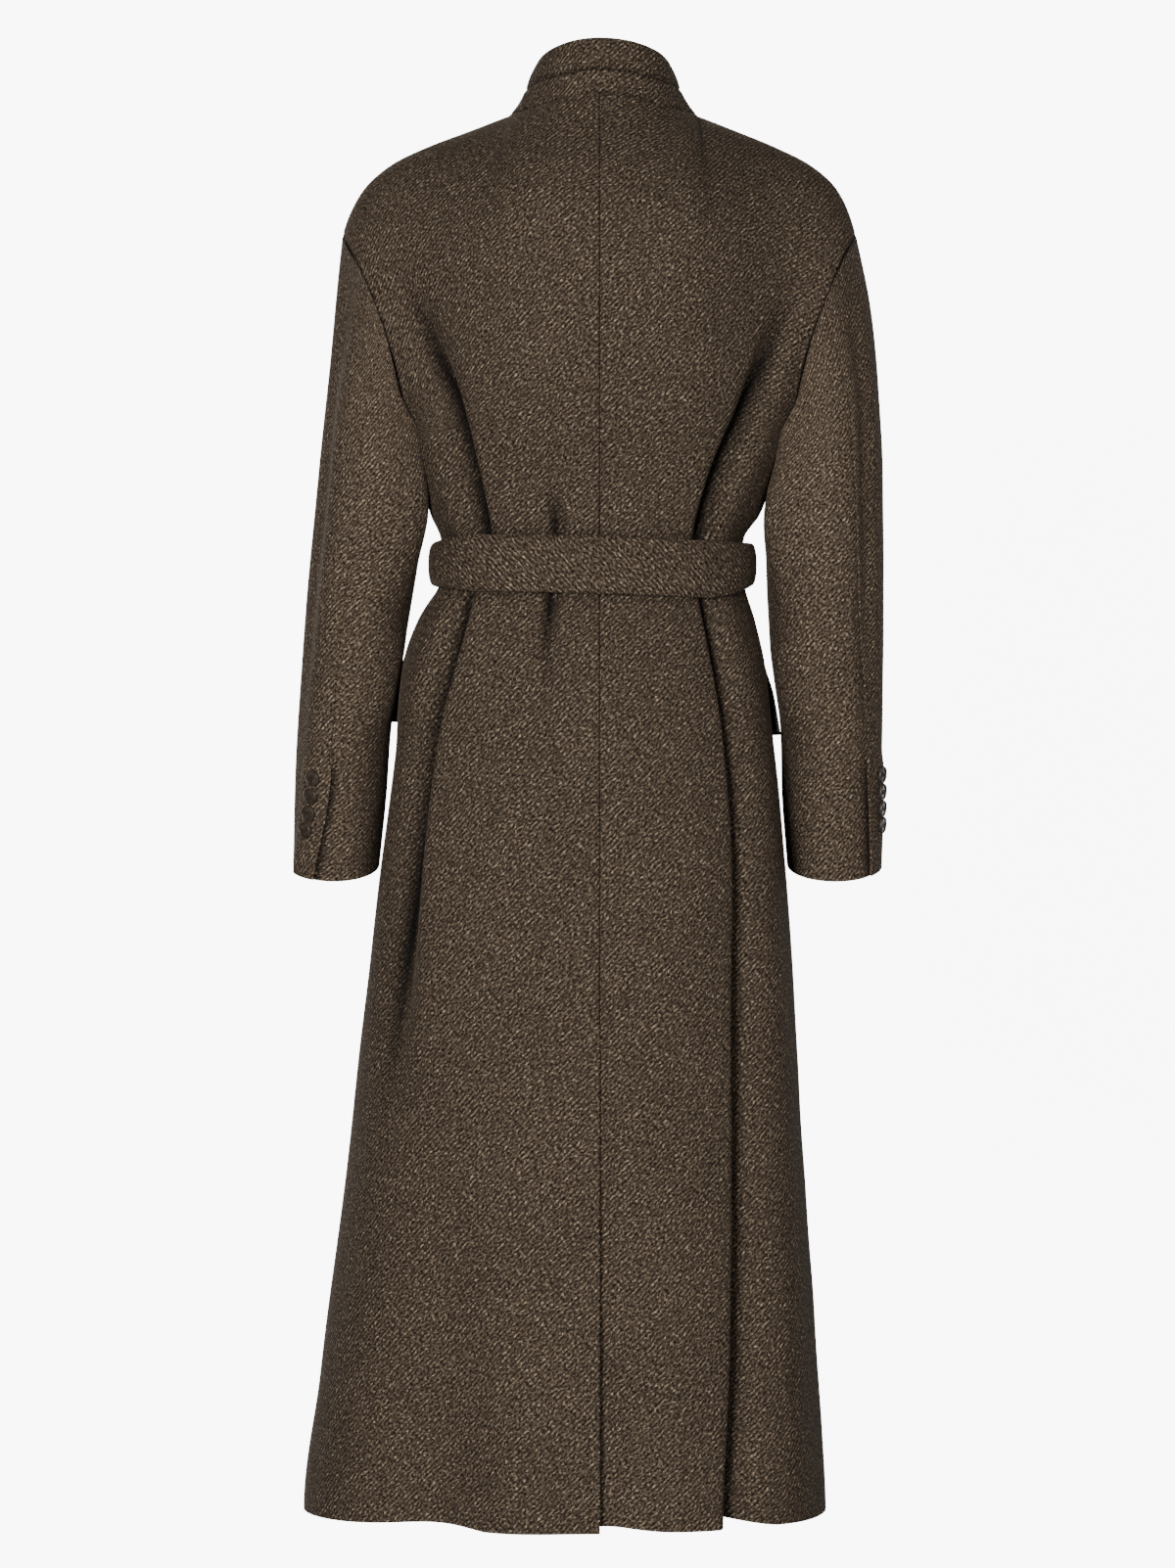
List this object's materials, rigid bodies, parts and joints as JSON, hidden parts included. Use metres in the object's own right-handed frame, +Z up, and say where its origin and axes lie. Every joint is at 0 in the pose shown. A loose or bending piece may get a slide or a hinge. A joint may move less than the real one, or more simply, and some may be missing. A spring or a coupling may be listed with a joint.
{
  "type": "belted coat",
  "caption": "Long overcoat in heavy tweed with a standing collar, set-in sleeves, flap pockets, a tied belt and a back vent, filled out as worn and open at neck, cuffs and hem.",
  "frame": {"origin": "between the wearer's shoulders, level with the neck ends of the shoulder seams, where the coat hangs from its wearer", "axes": "+Z up, +Y towards the front of the coat, so its back faces -Y, and +X towards the wearer's right arm"},
  "size_m": [0.5318, 0.3566, 1.2998],
  "materials": {
    "tweed": "brown flecked woollen twill, brushed and matt",
    "horn": "dark brown, dull polish"
  },
  "bodies": {
    "root": {"back_left": "tweed", "back_right": "tweed", "front_left": "tweed", "front_right": "tweed", "collar_stand": "tweed", "collar_leaf": "tweed", "sleeve_left_top": "tweed", "sleeve_left_under": "tweed", "sleeve_right_top": "tweed", "sleeve_right_under": "tweed", "pocket_flap_left": "tweed", "pocket_flap_right": "tweed", "belt": "tweed", "belt_knot": "tweed", "belt_end_left": "tweed", "belt_end_right": "tweed", "cuff_button_left_1": "horn", "cuff_button_left_2": "horn", "cuff_button_left_3": "horn", "cuff_button_left_4": "horn", "cuff_button_right_1": "horn", "cuff_button_right_2": "horn", "cuff_button_right_3": "horn", "cuff_button_right_4": "horn"}
  },
  "joints": []
}
